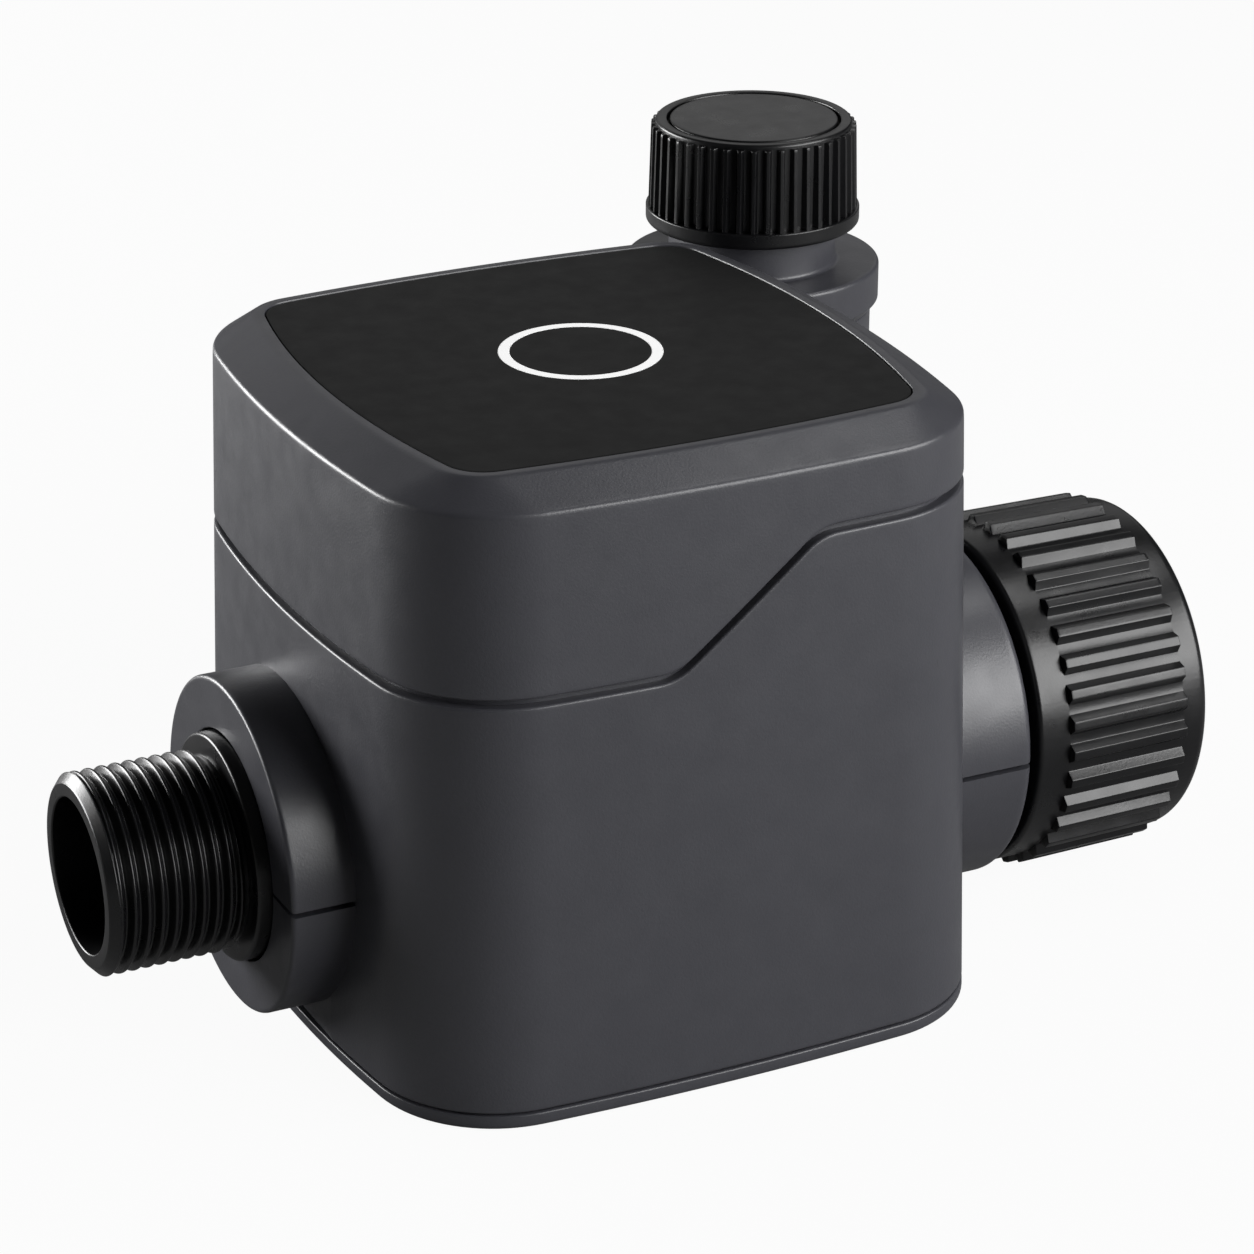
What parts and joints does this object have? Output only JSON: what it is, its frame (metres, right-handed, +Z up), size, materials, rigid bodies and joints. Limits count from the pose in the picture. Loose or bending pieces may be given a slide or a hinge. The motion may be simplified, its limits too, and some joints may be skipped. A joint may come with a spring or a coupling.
{
  "type": "smart irrigation controller",
  "caption": "Boxy inline garden-water controller with motor ball valve, threaded outlet, ribbed swivel inlet nut and a rear drain tower with a ribbed knob.",
  "frame": {"origin": "centre of the base's underside", "axes": "+X along the pipe towards the inlet nut, -X to the threaded outlet, -Y the front, +Z up"},
  "size_m": [0.1548, 0.1165, 0.0954],
  "materials": {
    "casing_plastic": "satin anthracite moulded plastic with a fine texture",
    "black_plastic": "near-black moulded plastic, satin gloss",
    "panel_black": "matt black printed panel",
    "ring_white": "white translucent light guide",
    "rubber": "black seal rubber",
    "steel": "zinc-plated steel",
    "natural_plastic": "glass-filled dark nylon",
    "seat_white": "white fluoropolymer",
    "chrome_ball": "chromed brass",
    "brass": "turned brass",
    "gear_white": "acetal",
    "rotor_blue": "moulded rotor",
    "mesh_steel": "stainless strainer",
    "board_green": "circuit board",
    "shield_tin": "tin shield",
    "cap_black": "capacitor sleeve",
    "cell_wrap": "plain cell wrap",
    "spring_nickel": "nickel-plated contacts"
  },
  "bodies": {
    "casing": {"upper_cover": "casing_plastic", "lower_housing": "casing_plastic", "bottom_cover": "casing_plastic", "tower_bonnet": "casing_plastic", "inlet_tee": "casing_plastic", "top_panel": "panel_black", "light_ring": "ring_white", "light_board": "board_green", "casing_gasket": "rubber", "casing_screws": "steel", "outlet_spigot": "black_plastic", "outlet_o_ring": "rubber", "inlet_o_ring": "rubber", "stem_o_rings": "rubber", "drain_stem_o_ring": "rubber", "union_washer": "rubber", "valve_body": "natural_plastic", "outlet_seat": "seat_white", "inlet_seat": "seat_white", "idler_shaft": "steel", "gear_motor": "steel", "gear_deck": "natural_plastic", "gear_cover": "natural_plastic", "deck_screws": "steel", "gear_cover_screws": "steel", "rotor_cage_outlet": "natural_plastic", "rotor_cage_inlet": "natural_plastic", "rotor_axle": "steel", "retaining_ring": "natural_plastic", "inlet_strainer": "mesh_steel", "main_board": "board_green", "board_screws": "steel", "radio_module": "shield_tin", "capacitors": "cap_black", "battery_tray": "natural_plastic", "tray_screws": "steel", "battery_cells": "cell_wrap", "battery_contacts": "spring_nickel"},
    "nut": {"union_nut": "black_plastic"},
    "valve": {"valve_ball": "chrome_ball", "ball_stem": "brass", "drive_gear": "gear_white"},
    "idler": {"idler_gear": "gear_white"},
    "pinion": {"drive_pinion": "brass", "motor_shaft": "steel"},
    "rotor": {"flow_rotor": "rotor_blue"},
    "knob": {"drain_knob": "black_plastic", "knob_disc": "black_plastic", "drain_stem": "brass"},
    "plug": {"drain_plug": "brass", "plug_seal": "rubber"}
  },
  "joints": [
    {"name": "nut_swivel", "type": "hinge", "parent": "casing", "child": "nut", "pos_m": [0.07029, 0, 0.025], "axis": [1, 0, 0], "continuous": true},
    {"name": "ball_turn", "type": "hinge", "parent": "casing", "child": "valve", "pos_m": [-0.016, 0, 0.025], "axis": [0, 0, 1], "range_deg": [0, 90]},
    {"name": "idler_turn", "type": "hinge", "parent": "casing", "child": "idler", "pos_m": [0.00097, 0.01697, 0.0485], "axis": [0, 0, 1], "range_deg": [-135, 0]},
    {"name": "pinion_turn", "type": "hinge", "parent": "casing", "child": "pinion", "pos_m": [0.0086, 0.02918, 0.0485], "axis": [0, 0, 1], "range_deg": [0, 270]},
    {"name": "rotor_spin", "type": "hinge", "parent": "casing", "child": "rotor", "pos_m": [0.0195, 0, 0.025], "axis": [1, 0, 0], "continuous": true},
    {"name": "drain_turn", "type": "hinge", "parent": "casing", "child": "knob", "pos_m": [0.05119, 0.0505, 0.088], "axis": [0, 0, 1], "range_deg": [0, 270]},
    {"name": "plug_rise", "type": "slide", "parent": "casing", "child": "plug", "axis": [0, 0, 1], "range_m": [0, 0.0055]}
  ],
  "couplings": [
    {"joint": "idler_turn", "follows": "ball_turn", "ratio": -1.5},
    {"joint": "pinion_turn", "follows": "ball_turn", "ratio": 3},
    {"joint": "drain_turn", "follows": "plug_rise", "rad_per_m": 856.79}
  ]
}
